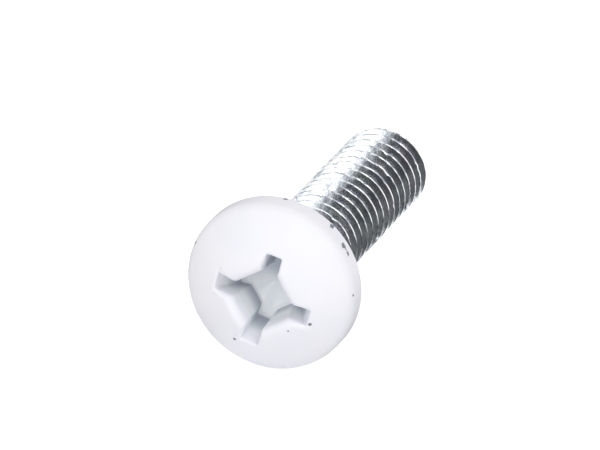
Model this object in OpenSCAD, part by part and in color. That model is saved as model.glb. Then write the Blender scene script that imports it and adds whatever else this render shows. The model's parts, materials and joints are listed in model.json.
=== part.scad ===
// Pan head machine screw with a cross recess, lying on its side as it comes to rest.
// The screw is drawn upright first: Z is its axis, the bearing face under the head is at z = 0,
// the head stands above it and the threaded shank hangs below it. Then it is laid down.

/* [Head] */
// Diameter of the head
head_d = 9.2; // [8.8:0.1:10.4]
// Height of the head from its bearing face to its crown
head_h = 3.3; // [3:0.1:4]
// Height of the straight side wall above the bearing face
side_h = 0.9; // [0.6:0.1:1.2]
// Radius that blends the side wall into the dome
corner_r = 1; // [0.6:0.1:1.3]
// Radius on the lower edge of the side wall
rim_r = 0.15; // [0.05:0.05:0.3]

/* [Cross recess] */
// Width across the tips of two opposite wings, where they meet the dome
recess_d = 5.3; // [4.6:0.1:5.8]
// Width of one wing
wing_w = 1; // [0.7:0.05:1.2]
// Width across the flats between the wings, at the level of the crown
core_w = 3; // [2.4:0.1:3.4]
// Depth of the flats and wings below the crown
wing_depth = 2.5; // [2:0.1:2.8]
// Slope of the wing tips, measured from the axis
wing_slope = 26.5; // [20:0.5:30]
// Slope of the flats between the wings, measured from the axis
flat_slope = 7; // [3:0.5:10]
// Radius that rounds the mouth of the recess between the wings
lip_r = 0.5; // [0.2:0.05:0.6]
// Full angle of the pointed floor
floor_angle = 138; // [120:1:150]
// Turn of the wings about the axis, from the line that points up when the screw lies down
recess_turn = -12; // [-45:1:45]

/* [Shank] */
// Diameter of the plain neck under the head
neck_d = 4.8; // [4.2:0.05:5.2]
// Length of the plain neck, from the bearing face to the thread
neck_l = 1.6; // [1:0.1:3]
// Radius of the fillet between the neck and the bearing face
fillet_r = 0.25; // [0.1:0.05:0.4]
// Length of the shank, from the bearing face to its end
shank_l = 16.1; // [10:0.1:30]
// Length of the bevel at the end of the shank
point_l = 0.55; // [0.3:0.05:0.8]
// Slope of that bevel, measured from the axis
point_slope = 38; // [20:1:50]

/* [Thread] */
// Distance from one crest to the next
pitch = 0.794; // [0.7:0.001:0.9]
// How far the rolled crests stay below the surface of the neck
crest_drop = 0.025; // [0.015:0.005:0.06]

/* [Hidden] */
$fn = 96;

head_r = head_d / 2;
neck_r = neck_d / 2;

// The blend's circle is centred at corner_x, side_h. The dome touches it and passes through the crown.
corner_x = head_r - corner_r;
rise = head_h - side_h;
dome_r = (pow(corner_x, 2) + pow(rise, 2) - pow(corner_r, 2)) / (2 * (rise - corner_r));
dome_z = head_h - dome_r;
blend_x = corner_x * dome_r / (dome_r - corner_r);

// Height on the dome at a distance x from the axis
function dome_at(x) = dome_z + sqrt(pow(dome_r, 2) - pow(x, 2));

// The mouth of the recess is rounded by an arc that starts on the flats and comes up to the dome, centred
// at lip_x, lip_z. It is cut in flat steps, of which the last one runs out through the dome.
lip_side = core_w / 2 * cos(flat_slope) + lip_r - dome_r * sin(flat_slope);
lip_up = sqrt(pow(dome_r - lip_r, 2) - pow(lip_side, 2));
lip_x = lip_side * cos(flat_slope) + lip_up * sin(flat_slope);
lip_z = dome_z - lip_side * sin(flat_slope) + lip_up * cos(flat_slope);
lip_steps = 5;
lip_first = 180 - flat_slope;
lip_last = 108;
function lip_angle(i) = lip_first + (lip_last - lip_first) * i / lip_steps;
function lip_point(i) = [lip_x + lip_r * cos(lip_angle(i)), lip_z + lip_r * sin(lip_angle(i))];

// A 60 degree thread: an eighth of the pitch is flat at the crest, a quarter at the root.
crest_r = neck_r - crest_drop;
crest_w = pitch / 8;
root_w = pitch / 4;
flank_w = (pitch - crest_w - root_w) / 2;
root_r = crest_r - flank_w * tan(60);
thread_steps = 40;
start_z = 1.12 * pitch - neck_l;
point_r = crest_r - point_l * tan(point_slope);

// The screw rests on the rim of its head and on the last full crest of its thread. The middle of a flat step
// of the crests lies on the floor, so that it doesn't roll, half a turn from the start of the helix. There
// first_l is the far corner of the first crest.
// The floor touches the rim's rounding, so the lean is the slope of the line from the last crest
// to the centre of the rounding, plus the angle that the rounding's radius takes up.
full_l = shank_l - point_l;
first_l = pitch * (1 / 2 + 1 / thread_steps) + flank_w + crest_w - start_z;
rest_l = first_l + pitch * floor((full_l - first_l) / pitch);
rest_dx = head_r - rim_r - crest_r * cos(180 / thread_steps);
rest_dz = rest_l + rim_r;
lean = atan2(rest_dx, rest_dz) + asin(rim_r / norm([rest_dx, rest_dz]));
rest_z = (head_r - rim_r) * cos(lean) - rim_r * sin(lean) + rim_r;
crown_x = dome_z * cos(lean) + dome_r;
end_x = shank_l * cos(lean) + point_r * sin(lean);

// Half outline of the head, from the axis outwards
module head_outline() {
    intersection() {
        translate([0, dome_z]) circle(dome_r);
        square([blend_x, head_h]);
    }
    intersection() {
        translate([corner_x, side_h]) circle(corner_r);
        translate([corner_x, 0]) square([corner_r, head_h]);
    }
    difference() {
        square([head_r, side_h]);
        difference() {
            translate([head_r - rim_r, 0]) square(rim_r);
            translate([head_r - rim_r, rim_r]) circle(rim_r);
        }
    }
}

// Outer bounds of the recess: wing tips that slope inwards as they go down, over a pointed floor
module recess_taper() {
    top_r = recess_d / 2 + (head_h - dome_at(recess_d / 2)) * tan(wing_slope);
    low_r = top_r - wing_depth * tan(wing_slope);
    floor_h = low_r / tan(floor_angle / 2);
    translate([0, 0, head_h - wing_depth])
        cylinder(h = 2 * wing_depth, r1 = low_r, r2 = low_r + 2 * wing_depth * tan(wing_slope));
    translate([0, 0, head_h - wing_depth - floor_h])
        cylinder(h = floor_h, r1 = 0, r2 = low_r);
}

// Four wings round a square core, whose flats lie halfway between the wings
module recess_cross() {
    reach = 2 * wing_depth;
    for (turn = [0, 90])
        rotate(turn)
            translate([-head_r, -wing_w / 2, head_h - reach])
                cube([2 * head_r, wing_w, 2 * reach]);
    spread = 2 * reach * tan(flat_slope);
    translate([0, 0, head_h - reach])
        cylinder(h = 2 * reach, r1 = (core_w - spread) / sqrt(2), r2 = (core_w + spread) / sqrt(2), $fn = 4);
    for (i = [0:lip_steps - 1]) lip_cut(i);
}

// One flat cut of the rounded mouth. Its slope is that of the arc between two steps, and it runs on
// past both of them.
module lip_cut(i) {
    low = lip_point(i);
    step = lip_point(i + 1) - low;
    foot = low - step;
    height = head_h + 0.2 + 0.1 * i - foot[1];
    translate([0, 0, foot[1]])
        cylinder(
            h = height,
            r1 = sqrt(2) * foot[0],
            r2 = sqrt(2) * (foot[0] + height * step[0] / step[1]),
            $fn = 4
        );
}

module recess() {
    rotate(recess_turn)
        intersection() {
            recess_cross();
            recess_taper();
        }
}

// The head and the neck, turned as one and then struck with the recess, which reaches down to the neck
module blank() {
    difference() {
        union() {
            rotate_extrude() head_outline();
            neck();
        }
        recess();
    }
}

// Plain neck with the fillet that joins it to the bearing face
module neck() {
    rotate_extrude() {
        translate([0, -neck_l]) square([neck_r, neck_l + side_h / 2]);
        difference() {
            translate([0, -fillet_r]) square([neck_r + fillet_r, fillet_r + side_h / 2]);
            translate([neck_r + fillet_r, -fillet_r]) circle(fillet_r);
        }
    }
}

// Where the thread's profile starts at step i of the helix, going down from inside the neck
function thread_z(i) = start_z - pitch * i / thread_steps;

// The four corners of the profile at step i, from its upper root edge to its lower one
function thread_section(i) =
    let (a = (1 - 2 * i) * 180 / thread_steps, z = thread_z(i))
    [for (q = [[root_r, 0], [crest_r, flank_w], [crest_r, flank_w + crest_w], [root_r, 2 * flank_w + crest_w]])
        [q[0] * cos(a), q[0] * sin(a), z - q[1]]];

// A helix of that profile round a solid core, longer than the shank at its lower end
module thread_helix() {
    last = thread_steps * ceil((shank_l - neck_l) / pitch + 2);
    points = [
        for (i = [0:last]) each thread_section(i),
        [0, 0, thread_z(0) - pitch],
        [0, 0, thread_z(last) - pitch / 2]
    ];
    upper = 4 * (last + 1);
    lower = upper + 1;
    turn = 4 * thread_steps;
    faces = [
        for (i = [0:last - 1], k = [0:2])
            [4 * i + k, 4 * i + k + 1, 4 * i + k + 5, 4 * i + k + 4],
        for (i = [0:last - thread_steps - 1])
            [4 * i + 3, 4 * i + turn, 4 * i + turn + 4, 4 * i + 7],
        for (i = [0:thread_steps - 1]) [upper, 4 * i, 4 * i + 4],
        for (k = [0:2]) [upper, k + 1, k],
        [upper, turn, 3],
        for (i = [last - thread_steps:last - 1]) [lower, 4 * i + 7, 4 * i + 3],
        for (k = [0:2]) [lower, 4 * last + k, 4 * last + k + 1],
        [lower, 4 * (last - thread_steps) + 3, 4 * last]
    ];
    polyhedron(points, faces);
}

// The thread, cut off square at the end of the shank and bevelled there. The bevel's cone
// runs on past the crests, so that it cuts them cleanly.
module thread() {
    wide_r = crest_r + 0.5;
    bevel_top = (wide_r - point_r) / tan(point_slope) - shank_l;
    intersection() {
        thread_helix();
        rotate_extrude()
            polygon([[0, -shank_l], [point_r, -shank_l], [wide_r, bevel_top], [wide_r, 0], [0, 0]]);
    }
}

module screw() {
    color([0.93, 0.93, 0.95]) blank();
    color([0.62, 0.64, 0.68]) thread();
}

// Lays the upright screw down, with its end towards +X and its lowest points at z = 0
module lying() {
    translate([(crown_x - end_x) / 2, 0, rest_z])
        rotate([0, 270 + lean, 0])
            children();
}

lying() screw();
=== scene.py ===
"""A pan head machine screw lying on its side: white painted head, bright zinc shank."""
import json
import math
import random

import bmesh
import bpy
import numpy as np
from mathutils import Matrix, Vector

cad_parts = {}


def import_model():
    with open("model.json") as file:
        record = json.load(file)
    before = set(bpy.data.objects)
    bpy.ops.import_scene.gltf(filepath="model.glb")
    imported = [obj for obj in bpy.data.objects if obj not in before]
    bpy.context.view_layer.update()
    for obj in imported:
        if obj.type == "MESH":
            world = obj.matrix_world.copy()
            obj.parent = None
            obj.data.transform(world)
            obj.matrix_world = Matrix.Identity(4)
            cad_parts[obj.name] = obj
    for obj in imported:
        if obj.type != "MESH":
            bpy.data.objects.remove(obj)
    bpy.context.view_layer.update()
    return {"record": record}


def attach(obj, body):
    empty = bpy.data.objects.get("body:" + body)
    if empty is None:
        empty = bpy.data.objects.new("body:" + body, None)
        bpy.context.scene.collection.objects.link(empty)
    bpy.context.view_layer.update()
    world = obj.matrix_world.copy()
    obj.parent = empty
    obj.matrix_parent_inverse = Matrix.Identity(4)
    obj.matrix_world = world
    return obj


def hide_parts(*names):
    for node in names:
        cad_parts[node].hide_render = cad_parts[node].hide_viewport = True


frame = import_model()

# Sizes of the screw, in millimetres, as the construction has them
HEAD_D = 9.2
HEAD_H = 3.3
SIDE_H = 0.9
CORNER_R = 1.0
RIM_R = 0.15
RECESS_D = 5.3
WING_W = 1.0
CORE_W = 3.0
WING_DEPTH = 2.5
WING_SLOPE = math.radians(26.5)
FLAT_SLOPE = math.radians(7)
FLOOR_ANGLE = math.radians(138)
RECESS_TURN = math.radians(-12)
NECK_D = 4.8
NECK_L = 1.6
FILLET_R = 0.25
SHANK_L = 16.1
POINT_L = 0.55
POINT_SLOPE = math.radians(38)
PITCH = 0.794
CREST_DROP = 0.025
THREAD_ANGLE = math.radians(60)
# The helix starts this many pitches above the end of the neck. It is turned by half of one of the
# construction's forty flat steps.
HELIX_START = 1.12 - 1 / 80

# Sizes that follow from those
HEAD_R = HEAD_D / 2
NECK_R = NECK_D / 2
CORNER_X = HEAD_R - CORNER_R
RISE = HEAD_H - SIDE_H
DOME_R = (CORNER_X**2 + RISE**2 - CORNER_R**2) / (2 * (RISE - CORNER_R))
DOME_Z = HEAD_H - DOME_R
BLEND_X = CORNER_X * DOME_R / (DOME_R - CORNER_R)
CREST_R = NECK_R - CREST_DROP
CREST_W = PITCH / 8
ROOT_W = PITCH / 4
FLANK_W = (PITCH - CREST_W - ROOT_W) / 2
ROOT_R = CREST_R - FLANK_W * math.tan(THREAD_ANGLE)
POINT_R = CREST_R - POINT_L * math.tan(POINT_SLOPE)
FIRST_CREST = HELIX_START * PITCH - NECK_L - FLANK_W - CREST_W / 2

# The mouth of the recess is rounded, by little at the wing tips and by much between the wings. There it
# reaches out over the dome by a share of its depth. It meets the walls just before a right angle.
TIP_LIP = 0.12
FLAT_LIP = 0.52
FLAT_REACH = 0.85 * FLAT_LIP
LIP_TURN = math.radians(86)
# Radii of the outline's corners, on the dome, and on the walls at a wing's tip and at its inner end
MOUTH_ROUND = 0.2
TIP_ROUND = 0.12
INNER_ROUND = 0.16
# How far the paint spreads the two sides of each wing's tip, from the wing that points up onwards. The
# spread grows between two distances from the middle, and the walls have only a share of it.
TIP_SPREAD = [(0.0, 0.0), (0.22, 0.04), (0.22, 0.0), (0.14, 0.08)]
SPREAD_FROM = 1.9
SPREAD_TO = 2.65
WALL_SPREAD = 0.6
# The recess was struck a little off the head's middle, and the paint narrows its wings
RECESS_SHIFT = (-0.12, -0.1)
PAINT_COAT = 0.06

# The camera looks down on the head from this side, and its picture is this wide at the screw, in metres
CAMERA_TURN = math.radians(20.94)
CAMERA_ELEVATION = math.radians(31.96)
CAMERA_DISTANCE = 0.75
VIEW_WIDTH = 0.03093
# Where the middle of the bearing face falls, from the middle of the picture
FACE_RIGHT = -0.001088
FACE_UP = -0.002728


def lying():
    """Where the upright screw lies. Its own origin is the middle of its bearing face."""
    mounts = {m["name"]: m for m in frame["record"]["mounts"]}
    down = Vector(mounts["neck"]["axis"]).normalized()
    on_axis = Vector(mounts["neck"]["pos_m"])
    origin = on_axis + down * (Vector(mounts["bearing_face"]["pos_m"]) - on_axis).dot(down)
    z = -down
    y = Vector((0, 1, 0))
    return Matrix.Translation(origin) @ Matrix((y.cross(z), y, z)).transposed().to_4x4()


LYING = lying()


def piece(name, points, faces, material, slot):
    """A closed mesh, its points in millimetres on the upright screw, laid down with the part."""
    mesh = bpy.data.meshes.new(name)
    mesh.from_pydata([LYING @ (Vector(p) * 0.001) for p in points], [], faces)
    work = bmesh.new()
    work.from_mesh(mesh)
    bmesh.ops.remove_doubles(work, verts=work.verts, dist=2e-7)
    bmesh.ops.dissolve_degenerate(work, edges=work.edges, dist=1e-8)
    bmesh.ops.recalc_face_normals(work, faces=work.faces)
    work.to_mesh(mesh)
    work.free()
    mesh.shade_smooth()
    obj = bpy.data.objects.new(name, mesh)
    bpy.context.scene.collection.objects.link(obj)
    mesh.materials.append(material)
    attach(obj, "root")
    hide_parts("screw")


def circle(r, z, angles):
    """A ring of points round the screw's axis."""
    return [(r * math.cos(a), r * math.sin(a), z) for a in angles]


def arc(x, z, r, start, end, steps, angles):
    """Circles along an arc of the outline, which has its centre at x, z."""
    turns = [start + (end - start) * k / steps for k in range(steps + 1)]
    return [circle(x + r * math.cos(t), z + r * math.sin(t), angles) for t in turns]


def skin(rings, helix=range(0), shift=0):
    """Points and faces of a tube through rings of equal counts, capped at both ends.

    A ring whose number is in helix doesn't close on itself: its last point joins the first point
    of the ring that lies shift rings earlier.
    """
    count = len(rings[0])
    points = [p for ring in rings for p in ring]

    def at(r, i):
        if i < count:
            return r * count + i
        if r in helix:
            return max(r - shift, helix[0] - 1) * count
        return r * count

    faces = []
    for r in range(len(rings) - 1):
        for i in range(count):
            quad = [at(r, i), at(r, i + 1), at(r + 1, i + 1), at(r + 1, i)]
            quad = [v for k, v in enumerate(quad) if v not in quad[:k]]
            if len(quad) > 2:
                faces.append(quad)
    for ring in (0, len(rings) - 1):
        points.append(tuple(np.mean(rings[ring], axis=0)))
        for i in range(count):
            faces.append((at(ring, i), at(ring, (i + 1) % count), len(points) - 1))
    return points, faces


# The recess

# Rings down the rounded mouth and down the walls, and how far out the rings of the floor lie
LIP_STEPS = 10
WALL_STEPS = 16
FLOOR_SHARES = (0.93, 0.84, 0.68, 0.5, 0.3, 0.12)


def dome_at(x, y):
    """Height of the dome."""
    return DOME_Z + math.sqrt(DOME_R**2 - x**2 - y**2)


def tip_at(z):
    """Reach of a wing at height z."""
    return RECESS_D / 2 + (z - dome_at(RECESS_D / 2, 0)) * math.tan(WING_SLOPE)


def floor_at(x, y):
    """Height of the recess's pointed floor."""
    bottom = HEAD_H - WING_DEPTH
    return bottom + (math.hypot(x, y) - tip_at(bottom)) / math.tan(FLOOR_ANGLE / 2)


# Half a wing's outline runs from the middle of its tip to the middle of the next flat. Each part
# of it has this many steps.
HALF_WING = [("tip", 5), ("tip_corner", 6), ("side", 12), ("inner_corner", 8), ("flat", 9)]
STEPS = [(name, k / count) for name, count in HALF_WING for k in range(count)] + [("flat", 1.0)]


def outline(section, share, tip, half, flat, tip_round, inner_round):
    """A point of half a wing's outline, in the wing's own axes."""
    root_half = math.sqrt(0.5)
    inner_x = (flat + inner_round) / root_half - half - inner_round
    if section == "tip":
        return tip, share * (half - tip_round)
    if section == "tip_corner":
        angle = share * math.pi / 2
        return tip - tip_round * (1 - math.cos(angle)), half - tip_round * (1 - math.sin(angle))
    if section == "side":
        return tip - tip_round + share * (inner_x - tip + tip_round), half
    angle = math.pi / 2 - (share if section == "inner_corner" else 1) * math.pi / 4
    x = inner_x - inner_round * math.cos(angle)
    y = half + inner_round * (1 - math.sin(angle))
    if section == "inner_corner":
        return x, y
    return x + share * (flat * root_half - x), y + share * (flat * root_half - y)


def wall_point(section, share, z):
    """Where the recess's wall is at height z."""
    flat = CORE_W / 2 - (HEAD_H - z) * math.tan(FLAT_SLOPE)
    return outline(section, share, tip_at(z), WING_W / 2 - PAINT_COAT, flat, TIP_ROUND, INNER_ROUND)


def mouth_point(section, share):
    """Where the rounding of the recess's mouth leaves the dome."""
    tip, half = RECESS_D / 2 + TIP_LIP, WING_W / 2 + TIP_LIP
    return outline(section, share, tip, half, CORE_W / 2 + FLAT_REACH, MOUTH_ROUND, MOUTH_ROUND)


def lip(section, share):
    """Depth of the rounding on that part of the outline."""
    if section in ("tip", "tip_corner"):
        return TIP_LIP
    if section == "side":
        return TIP_LIP + (FLAT_LIP - TIP_LIP) * share**2 * (3 - 2 * share)
    return FLAT_LIP


def spread_at(x, spread):
    """How much wider a wing is at x because of its spread tip."""
    grown = (x - SPREAD_FROM) / (SPREAD_TO - SPREAD_FROM)
    return 1 + spread / (WING_W / 2) * min(max(grown, 0), 1)


def recess_ring(place):
    """One closed ring round the recess. place(section, share, spread) gives a point in a wing's axes."""
    ring = []
    for wing in range(4):
        turn = RECESS_TURN + wing * math.pi / 2
        spread, next_spread = TIP_SPREAD[wing][1], TIP_SPREAD[(wing + 1) % 4][0]
        half = [place(section, share, spread) for section, share in STEPS]
        next_half = [place(section, share, next_spread) for section, share in reversed(STEPS[1:-1])]
        for x, y, z in half + [(y, x, z) for x, y, z in next_half]:
            px = x * math.cos(turn) - y * math.sin(turn)
            py = x * math.sin(turn) + y * math.cos(turn)
            sx, sy = px + RECESS_SHIFT[0], py + RECESS_SHIFT[1]
            ring.append((sx, sy, z + dome_at(sx, sy) - dome_at(px, py)))
    return ring


def lip_place(angle):
    """Points on the rounded mouth: angle 0 lies on the dome, and a quarter turn on the wall."""

    def place(section, share, spread):
        drop = lip(section, share) * (1 - math.cos(angle))
        out = 1 - math.sin(angle)
        mx, my = mouth_point(section, share)
        my *= spread_at(mx, spread)
        x, y = mx, my
        # The dome's height depends on the point and the point on that height, so they settle in turns
        for _ in range(3):
            wx, wy = wall_point(section, share, dome_at(x, y) - drop)
            wy *= spread_at(wx, WALL_SPREAD * spread)
            x, y = mx * out + wx * (1 - out), my * out + wy * (1 - out)
        return x, y, dome_at(x, y) - drop

    return place


def wall_place(down):
    """Points on the wall, from the rounded mouth at down = 0 to the floor at down = 1."""

    def place(section, share, spread):
        z = HEAD_H - lip(section, share)
        for _ in range(4):
            x, y = wall_point(section, share, z)
            y *= spread_at(x, WALL_SPREAD * spread)
            z = (dome_at(x, y) - lip(section, share)) * (1 - down) + floor_at(x, y) * down
        return x, y, z

    return place


def recess_rings(mouth):
    """From the mouth down the walls, and then in over the pointed floor."""
    rings = [mouth]
    rings += [recess_ring(lip_place(LIP_TURN * k / LIP_STEPS)) for k in range(1, LIP_STEPS + 1)]
    rings += [recess_ring(wall_place(k / WALL_STEPS)) for k in range(1, WALL_STEPS + 1)]
    foot = rings[-1]
    for share in FLOOR_SHARES:
        rings.append([(x * share, y * share, floor_at(x * share, y * share)) for x, y, _ in foot])
    return rings


# The head

# Steps of the fillet and the lower edge, of the blend into the dome, and up the dome
EDGE_STEPS = 6
BLEND_STEPS = 14
DOME_STEPS = 20


def ring_angles(mouth):
    """Halfway between even steps and the mouth's own angles, which turn back where a wing is spread."""
    angles = []
    for k, (x, y, _) in enumerate(mouth):
        even = RECESS_TURN + 2 * math.pi * k / len(mouth)
        angles.append(even + ((math.atan2(y, x) - even + math.pi) % (2 * math.pi) - math.pi) / 2)
    return angles


def outside_rings(angles):
    """From the neck along the bearing face and up the side to the foot of the dome."""
    inner, outer = NECK_R + FILLET_R, HEAD_R - RIM_R
    fillet = arc(inner, -FILLET_R, FILLET_R, math.pi, math.pi / 2, EDGE_STEPS, angles)
    face = [circle(inner + share * (outer - inner), 0, angles) for share in (0.3, 0.6, 0.9)]
    rim = arc(outer, RIM_R, RIM_R, -math.pi / 2, 0, EDGE_STEPS, angles)
    side = [circle(HEAD_R, RIM_R + share * (SIDE_H - RIM_R), angles) for share in (0.33, 0.66)]
    top = math.atan2(SIDE_H - DOME_Z, CORNER_X)
    return fillet + face + rim + side + arc(CORNER_X, SIDE_H, CORNER_R, 0, top, BLEND_STEPS, angles)


def dome_rings(mouth, angles):
    """From the foot of the dome up to the mouth of the recess, where they are closer together."""
    rings = []
    for k in range(1, DOME_STEPS):
        share = (k / DOME_STEPS) ** 0.85
        ring = []
        for (mx, my, _), a in zip(mouth, angles):
            x = BLEND_X * math.cos(a) * (1 - share) + mx * share
            y = BLEND_X * math.sin(a) * (1 - share) + my * share
            ring.append((x, y, dome_at(x, y)))
        rings.append(ring)
    return rings


def head_parts():
    mouth = recess_ring(lip_place(0))
    angles = ring_angles(mouth)
    return skin(outside_rings(angles) + dome_rings(mouth, angles) + recess_rings(mouth))


# The shank

AROUND = 128
# Steps down one pitch as shares of it, from the middle of a root to that of the next, closer at the crest
HALF_PITCH = [0.0, 0.06, 0.11, 0.14, 0.18, 0.26, 0.34, 0.4, 0.43, 0.45, 0.475]
PROFILE = HALF_PITCH + [0.5] + [1 - t for t in reversed(HALF_PITCH[1:])]
# How softly the crests, the roots and the edge of the bevel are rounded
CREST_SOFT = 0.035
ROOT_SOFT = 0.1
BEVEL_SOFT = 0.04
# The rounded lower edge of the neck
NECK_EDGE = 0.04
# Small knocks along the shank, and the least and greatest size and depth of one
KNOCKS = 340
KNOCK_SIZE = (0.07, 0.22)
KNOCK_DEPTH = (0.01, 0.08)
KNOCK_SEED = 11
# The part of the end that has no knocks
CLEAR_END = 0.3


def soft_min(a, b, k):
    """The smaller of a and b, rounded where they are less than k apart."""
    h = np.maximum(k - np.abs(a - b), 0) / k
    return np.minimum(a, b) - h * h * k / 4


def thread_radius(z, angle):
    """Radius of the right-hand thread's surface."""
    along = (FIRST_CREST - z) / PITCH + angle / (2 * math.pi)
    away = np.abs((along + 0.5) % 1.0 - 0.5) * PITCH
    line = CREST_R - (away - CREST_W / 2) * math.tan(THREAD_ANGLE)
    return -soft_min(-soft_min(line, CREST_R, CREST_SOFT), -ROOT_R, ROOT_SOFT)


def knocked(z, angle, r):
    """The radius after small knocks along the shank, which only reach the crests."""
    rng = random.Random(KNOCK_SEED)
    high = np.clip((r - ROOT_R) / (CREST_R - ROOT_R), 0, 1)
    for _ in range(KNOCKS):
        place, turn = rng.uniform(CLEAR_END - SHANK_L, -NECK_L), rng.uniform(-math.pi, math.pi)
        size, depth = rng.uniform(*KNOCK_SIZE), rng.uniform(*KNOCK_DEPTH)
        apart = (angle - turn + math.pi) % (2 * math.pi) - math.pi
        far = ((place - z) ** 2 + (apart * CREST_R) ** 2) / size**2
        r = r - depth * np.exp(-2 * far) * high
    return r


def shank_parts():
    angles = 2 * math.pi * np.arange(AROUND) / AROUND
    rings = [
        circle(NECK_R, -FILLET_R, angles),
        circle(NECK_R, -NECK_L / 2, angles),
        circle(NECK_R, -NECK_L + NECK_EDGE, angles),
        circle(NECK_R - 0.3 * NECK_EDGE, -NECK_L + 0.3 * NECK_EDGE, angles),
        circle(NECK_R - NECK_EDGE, -NECK_L, angles),
    ]
    # The rings of the thread climb with it. Where they would leave the shank they stay at its ends.
    helix_start = len(rings)
    for turn in range(-2, math.ceil(SHANK_L / PITCH) + 2):
        for share in PROFILE[:-1]:
            free = FIRST_CREST - PITCH * (turn + share - 0.5 - angles / (2 * math.pi))
            z = np.clip(free, -SHANK_L, -NECK_L - 0.001)
            r = knocked(z, angles, thread_radius(z, angles))
            r = soft_min(r, POINT_R + (z + SHANK_L) * math.tan(POINT_SLOPE), BEVEL_SOFT)
            rings.append(list(zip(r * np.cos(angles), r * np.sin(angles), z)))
    helix = range(helix_start, len(rings))
    for share in (0.97, 0.85, 0.5):
        rings.append(circle(POINT_R * share, -SHANK_L, angles))
    return skin(rings, helix, len(PROFILE) - 1)


# Materials

class Nodes:
    """Short ways to add and join the nodes of one tree."""

    def __init__(self, tree):
        self.tree = tree

    def add(self, kind, **settings):
        node = self.tree.nodes.new(kind)
        for key, value in settings.items():
            setattr(node, key, value)
        return node

    def link(self, source, target):
        self.tree.links.new(source, target)

    def put(self, socket, value):
        if isinstance(value, bpy.types.NodeSocket):
            self.link(value, socket)
        else:
            socket.default_value = value

    def math(self, operation, a, b=0.0):
        node = self.add("ShaderNodeMath", operation=operation)
        self.put(node.inputs[0], a)
        self.put(node.inputs[1], b)
        return node.outputs[0]

    def ramp(self, value, low, high, start=0.0, end=1.0):
        """start below low, end above high, smooth between."""
        node = self.add("ShaderNodeMapRange", interpolation_type="SMOOTHSTEP")
        self.put(node.inputs["Value"], value)
        node.inputs["From Min"].default_value = low
        node.inputs["From Max"].default_value = high
        node.inputs["To Min"].default_value = start
        node.inputs["To Max"].default_value = end
        return node.outputs["Result"]

    def mix(self, share, a, b, blend="MIX"):
        node = self.add("ShaderNodeMix", data_type="RGBA", blend_type=blend)
        self.put(node.inputs[0], share)
        self.put(node.inputs[6], a)
        self.put(node.inputs[7], b)
        return node.outputs[2]

    def vector(self, operation, value, constant):
        node = self.add("ShaderNodeVectorMath", operation=operation)
        self.link(value, node.inputs[0])
        node.inputs[1].default_value = constant
        return node

    def dot(self, value, constant):
        return self.vector("DOT_PRODUCT", value, constant).outputs["Value"]

    def length(self, value):
        return self.vector("LENGTH", value, (0, 0, 0)).outputs["Value"]

    def ray(self, name):
        return self.add("ShaderNodeLightPath").outputs[name]

    def seen_rays(self):
        """1 for rays from the camera or from a reflection or refraction, else 0."""
        seen = self.ray("Is Camera Ray")
        for name in ("Is Glossy Ray", "Is Transmission Ray"):
            seen = self.math("MAXIMUM", seen, self.ray(name))
        return seen


class Surface(Nodes):
    """The nodes of one material."""

    def __init__(self, name):
        self.material = bpy.data.materials.new(name)
        self.material.use_nodes = True
        super().__init__(self.material.node_tree)
        self.shader = self.tree.nodes["Principled BSDF"]
        self.room = self.add("ShaderNodeTexCoord").outputs["Object"]
        back = self.add("ShaderNodeMapping", vector_type="TEXTURE")
        back.inputs["Location"].default_value = LYING.to_translation()
        back.inputs["Rotation"].default_value = LYING.to_euler()
        self.link(self.room, back.inputs["Vector"])
        # A place on the upright screw, in metres
        self.place = back.outputs["Vector"]

    def noise(self, scale, detail, rough):
        node = self.add("ShaderNodeTexNoise")
        self.link(self.place, node.inputs["Vector"])
        node.inputs["Scale"].default_value = scale
        node.inputs["Detail"].default_value = detail
        node.inputs["Roughness"].default_value = rough
        return node.outputs["Fac"]

    def off_axis(self):
        """Distance from the screw's axis, in millimetres."""
        return self.length(self.vector("MULTIPLY", self.place, (1000, 1000, 0)).outputs[0])

    def away(self, point):
        """Distance from a point of the upright screw, both in millimetres."""
        scaled = self.vector("MULTIPLY", self.place, (1000, 1000, 1000)).outputs[0]
        return self.vector("DISTANCE", scaled, point).outputs["Value"]

    def bump(self, height, distance, strength, normal=None):
        node = self.add("ShaderNodeBump")
        node.inputs["Strength"].default_value = strength
        node.inputs["Distance"].default_value = distance
        self.put(node.inputs["Height"], height)
        if normal:
            self.link(normal, node.inputs["Normal"])
        return node.outputs["Normal"]


# Colours of the zinc. The crest colours are a painted highlight along the crests, broken by dim gaps.
DULL_FLANK = (0.58, 0.62, 0.68, 1)
BRIGHT_FLANK = (0.84, 0.86, 0.9, 1)
FLANK_SPECK = (0.9, 0.9, 0.93, 1)
DIM_CREST_GAP = (0.45, 0.47, 0.53, 1)
CREST_HIGHLIGHT = (0.95, 0.95, 0.96, 1)
GREEN_TINT = (0.965, 1.0, 0.985, 1)
VIOLET_TINT = (0.98, 0.97, 1.0, 1)


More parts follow.
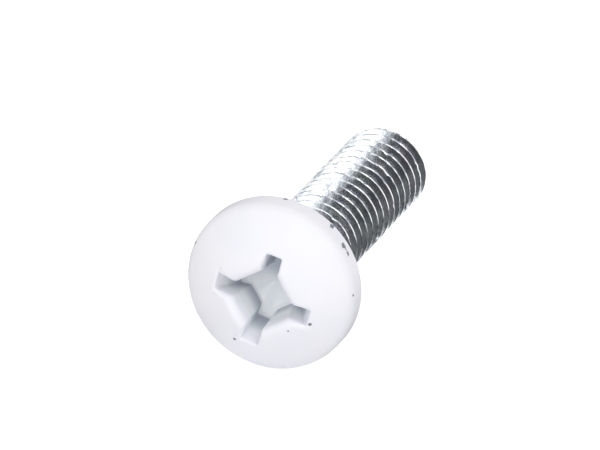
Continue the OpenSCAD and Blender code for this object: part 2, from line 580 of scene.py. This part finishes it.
def zinc():
    """Bright zinc plate: crests painted lighter than the flanks as a painted highlight, with dim gaps; faint
    colour and fine grain.
    """
    n = Surface("zinc plate")
    height = n.ramp(n.off_axis(), ROOT_R + 0.04, CREST_R)
    flank = n.mix(n.ramp(n.noise(1100, 4, 0.6), 0.35, 0.65), DULL_FLANK, BRIGHT_FLANK)
    flank = n.mix(n.ramp(n.noise(6500, 3, 0.6), 0.58, 0.72), flank, FLANK_SPECK)
    # Painted highlight along the crests, broken by dim patches
    crest_highlight = n.mix(n.ramp(n.noise(2300, 3, 0.6), 0.4, 0.56), DIM_CREST_GAP, CREST_HIGHLIGHT)
    base = n.mix(n.ramp(height, 0.88, 1.0), flank, crest_highlight)
    tint = n.mix(n.ramp(n.noise(420, 2, 0.5), 0.4, 0.62), GREEN_TINT, VIOLET_TINT)
    n.link(n.mix(1.0, base, tint, "MULTIPLY"), n.shader.inputs["Base Color"])
    n.shader.inputs["Metallic"].default_value = 1.0
    rough = n.math("MULTIPLY", n.noise(2400, 3, 0.6), 0.2)
    n.link(n.math("ADD", 0.12, rough), n.shader.inputs["Roughness"])
    grain = n.bump(n.noise(9000, 3, 0.6), 0.000012, 0.7)
    n.link(n.bump(n.noise(1500, 3, 0.55), 0.00004, 0.6, grain), n.shader.inputs["Normal"])
    return n.material


# Colours of the paint on the outside; lighter and bluish in the recess as painted light; painted shade low
# on the recess walls and on the wing that points up; and bare steel where the paint is chipped
SHELL_SHADE = (0.86, 0.86, 0.92, 1)
SHELL_WHITE = (0.89, 0.89, 0.93, 1)
RECESS_LIGHT_TINT = (0.88, 0.92, 0.94, 1)
RECESS_LIGHT_WHITE = (0.95, 0.965, 0.975, 1)
LOW_WALL_SHADE = (0.4, 0.44, 0.51, 1)
UPPER_WING_SHADE = (0.4, 0.43, 0.52, 1)
BARE_STEEL = (0.22, 0.23, 0.26, 1)
# Chips in the paint: a point of the upright head, and how far the chip reaches, in millimetres
CHIPS = [
    ((3.62, -2.83, 0.27), 0.2),
    ((2.83, -3.62, 0.63), 0.22),
    ((2.44, -3.9, 0.59), 0.2),
    ((2.62, -3.78, 0.6), 0.11),
    ((1.66, 4.2, 1.3), 0.13),
    ((1.78, 4.24, 1.1), 0.11),
    ((4.6, -0.18, 0.25), 0.16),
    ((0.46, -4.53, 1.22), 0.13),
    ((-2.71, 1.34, 2.53), 0.11),
    ((-1.47, -1.68, 2.89), 0.1),
    ((-1.01, -2.73, 2.59), 0.09),
]


def low_on_walls(n):
    """1 just above the recess's floor, and fading up its walls: where the painted shade goes."""
    shift = (RECESS_SHIFT[0] / 1000, RECESS_SHIFT[1] / 1000, 0)
    from_middle = n.vector("SUBTRACT", n.place, shift).outputs[0]
    reach = n.length(n.vector("MULTIPLY", from_middle, (1000, 1000, 0)).outputs[0])
    floor_z = n.math("ADD", floor_at(0, 0), n.math("DIVIDE", reach, math.tan(FLOOR_ANGLE / 2)))
    above = n.math("SUBTRACT", n.dot(n.place, (0, 0, 1000)), floor_z)
    return n.math("MULTIPLY", n.ramp(above, 0.06, 0.18), n.ramp(above, 1.1, 0.2))


def chipped(n):
    """1 where the paint is off, with ragged edges."""
    coarse = n.math("MULTIPLY", n.math("SUBTRACT", n.noise(3000, 2, 0.5), 0.5), 2.4)
    fine = n.math("MULTIPLY", n.math("SUBTRACT", n.noise(9000, 3, 0.6), 0.5), 1.0)
    ragged = n.math("ADD", coarse, fine)
    bare = 0.0
    for point, reach in CHIPS:
        near = n.math("SUBTRACT", 1.0, n.math("DIVIDE", n.away(point), reach))
        bare = n.math("MAXIMUM", bare, n.math("ADD", near, ragged))
    return n.ramp(bare, 0.15, 0.4)


def paint():
    """Glossy white paint over zinc, with a few chips. The recess is painted lighter and bluish as painted
    light, with painted shade low on its walls and on the wing that points up.
    """
    n = Surface("white paint")
    # How far a place in the recess lies below the dome
    depth = n.math("SUBTRACT", DOME_R, n.away((0, 0, DOME_Z)))
    inside = n.math("MULTIPLY", n.ramp(depth, 0.45, 1.3), n.ramp(n.off_axis(), 3.0, 2.8))
    shell = n.mix(n.ramp(n.noise(260, 2, 0.5), 0.35, 0.7), SHELL_SHADE, SHELL_WHITE)
    # Painted light: the recess is coloured lighter and bluer than the outside
    recess_light = n.mix(n.ramp(n.noise(1500, 4, 0.6), 0.35, 0.7), RECESS_LIGHT_TINT, RECESS_LIGHT_WHITE)
    coated = n.mix(inside, shell, recess_light)
    # Painted shade low on the recess's walls and on the wing that points up
    low = n.math("MULTIPLY", low_on_walls(n), n.math("MULTIPLY", inside, 0.85))
    coated = n.mix(low, coated, LOW_WALL_SHADE)
    upper_wing_shade = n.ramp(n.dot(n.place, (1000, 0, 0)), -0.3, 1.0)
    coated = n.mix(n.math("MULTIPLY", upper_wing_shade, n.math("MULTIPLY", inside, 0.8)), coated, UPPER_WING_SHADE)
    bare = chipped(n)
    n.link(n.mix(bare, coated, BARE_STEEL), n.shader.inputs["Base Color"])
    # The sheltered paint of the recess kept its gloss
    for name, outer, inner in (("Roughness", 0.42, 0.2), ("Specular IOR Level", 0.15, 0.5)):
        n.link(n.math("ADD", outer, n.math("MULTIPLY", inside, inner - outer)), n.shader.inputs[name])
    pit = n.bump(n.math("SUBTRACT", 1.0, bare), 0.00003, 0.8)
    n.link(n.bump(n.noise(900, 2, 0.5), 0.00003, 0.3, pit), n.shader.inputs["Normal"])
    return n.material


# The room

# The floor reaches this far each way, in metres
FLOOR_REACH = 3.0
FLOOR_WHITE = 0.8
FLOOR_GLOW = 0.75
SKY_LEVEL = 0.62
SENSOR_WIDTH = 36
# A painted dark reflection: only reflections see some of the floor dark, though no dark thing stands there.
# On the floor that is to the left of the screw, and to the right of it as far along as its head. Each edge
# fades from one place to another, in millimetres.
FLOOR_DARK_REFLECTION = 0.9
LEFT_EDGE = (2, 5)
RIGHT_EDGE = (-2.6, -3.6)
ALONG_EDGE = (11, 7)
# The world is dark, as a painted dark reflection, round a direction that is given along the camera's right,
# up and back
SKY_DARK_REFLECTION = 0.94
DARK_SIDE = (0.35, -0.25, 0.9)
DARK_REACH = math.radians(51)
FULL_DARK_REACH = 0.82 * DARK_REACH
# Soft lamps: how far to the camera's right, up and back from the screw, and their size, in metres, then
# their power in watts
LAMPS = {
    "left": (-0.34, 0.125, 0.345, 0.25, 0.3),
    "front": (-0.175, -0.18, 0.43, 0.2, 0.45),
    "top_right": (0.2, 0.27, 0.37, 0.25, 0.6),
    "right": (0.375, 0.05, 0.325, 0.3, 0.2),
}
LAMP_AIM = LYING @ Vector((0, 0, -0.005))


def camera_axes():
    """The camera's right, up and forward."""
    t, e = CAMERA_TURN, CAMERA_ELEVATION
    forward = Vector((math.cos(e) * math.cos(t), math.cos(e) * math.sin(t), -math.sin(e)))
    right = Vector((math.sin(t), -math.cos(t), 0))
    return right, right.cross(forward), forward


def floor():
    """A white floor. It glows for the camera and for reflections, and still takes the screw's shadow.
    Reflections see it dark beside the screw, a painted dark reflection.
    """
    mesh = bpy.data.meshes.new("floor")
    corners = [(x * FLOOR_REACH, y * FLOOR_REACH, 0) for x, y in ((-1, -1), (1, -1), (1, 1), (-1, 1))]
    mesh.from_pydata(corners, [], [(0, 1, 2, 3)])
    obj = bpy.data.objects.new("floor", mesh)
    bpy.context.scene.collection.objects.link(obj)
    n = Surface("floor")
    along, across = n.dot(n.room, (1000, 0, 0)), n.dot(n.room, (0, 1000, 0))
    right = n.math("MULTIPLY", n.ramp(along, *ALONG_EDGE), n.ramp(across, *RIGHT_EDGE))
    sides = n.math("MAXIMUM", right, n.ramp(across, *LEFT_EDGE))
    # Painted dark reflection: only glossy rays see these parts of the floor dark
    dark_reflection = n.math("MULTIPLY", sides, n.ray("Is Glossy Ray"))
    lit = n.math("SUBTRACT", 1.0, n.math("MULTIPLY", dark_reflection, FLOOR_DARK_REFLECTION))
    n.link(n.math("MULTIPLY", lit, FLOOR_WHITE), n.shader.inputs["Base Color"])
    n.shader.inputs["Roughness"].default_value = 1.0
    n.shader.inputs["Specular IOR Level"].default_value = 0.0
    n.shader.inputs["Emission Color"].default_value = (1, 1, 1, 1)
    glow = n.math("MULTIPLY", n.seen_rays(), FLOOR_GLOW)
    n.link(n.math("MULTIPLY", glow, lit), n.shader.inputs["Emission Strength"])
    mesh.materials.append(n.material)


def world():
    """White where the camera and reflections see it, but for a painted dark reflection on one side, and a
    plain level of light elsewhere.
    """
    sky = bpy.data.worlds.new("studio")
    sky.use_nodes = True
    bpy.context.scene.world = sky
    n = Nodes(sky.node_tree)
    background = n.tree.nodes["Background"]
    background.inputs["Color"].default_value = (1, 1, 1, 1)
    level = n.ramp(n.seen_rays(), 0.0, 1.0, SKY_LEVEL, 1.0)
    # Only reflections see the dark side: a painted dark reflection
    right, up, forward = camera_axes()
    side = (right * DARK_SIDE[0] + up * DARK_SIDE[1] - forward * DARK_SIDE[2]).normalized()
    towards = n.dot(n.add("ShaderNodeTexCoord").outputs["Generated"], side)
    dark_reflection = n.ramp(towards, math.cos(DARK_REACH), math.cos(FULL_DARK_REACH), 0.0, SKY_DARK_REFLECTION)
    lit = n.math("SUBTRACT", 1.0, n.math("MULTIPLY", dark_reflection, n.ray("Is Glossy Ray")))
    n.link(n.math("MULTIPLY", level, lit), background.inputs["Strength"])


def lamp(name, right, up, back, size, power):
    """A soft lamp at a place given along the camera's axes, in metres, aimed at the screw."""
    r, u, f = camera_axes()
    data = bpy.data.lights.new(name, "AREA")
    data.shape = "DISK"
    data.size = size
    data.energy = power
    obj = bpy.data.objects.new(name, data)
    bpy.context.scene.collection.objects.link(obj)
    obj.location = LAMP_AIM + r * right + u * up - f * back
    obj.rotation_euler = (LAMP_AIM - obj.location).to_track_quat("-Z", "Y").to_euler()


def camera():
    """A long lens, so that the view is close to parallel."""
    r, u, f = camera_axes()
    aim = LYING.translation - r * FACE_RIGHT - u * FACE_UP
    data = bpy.data.cameras.new("camera")
    data.sensor_width = SENSOR_WIDTH
    data.lens = SENSOR_WIDTH * CAMERA_DISTANCE / VIEW_WIDTH
    data.clip_start = 0.01
    data.clip_end = 10
    obj = bpy.data.objects.new("camera", data)
    bpy.context.scene.collection.objects.link(obj)
    obj.location = aim - f * CAMERA_DISTANCE
    obj.rotation_euler = f.to_track_quat("-Z", "Y").to_euler()
    bpy.context.scene.camera = obj


piece("painted_head", *head_parts(), paint(), "white_paint")
piece("threaded_shank", *shank_parts(), zinc(), "zinc_plate")

floor()
world()
for name, values in LAMPS.items():
    lamp(name, *values)
camera()

bpy.context.scene.view_settings.view_transform = "Standard"
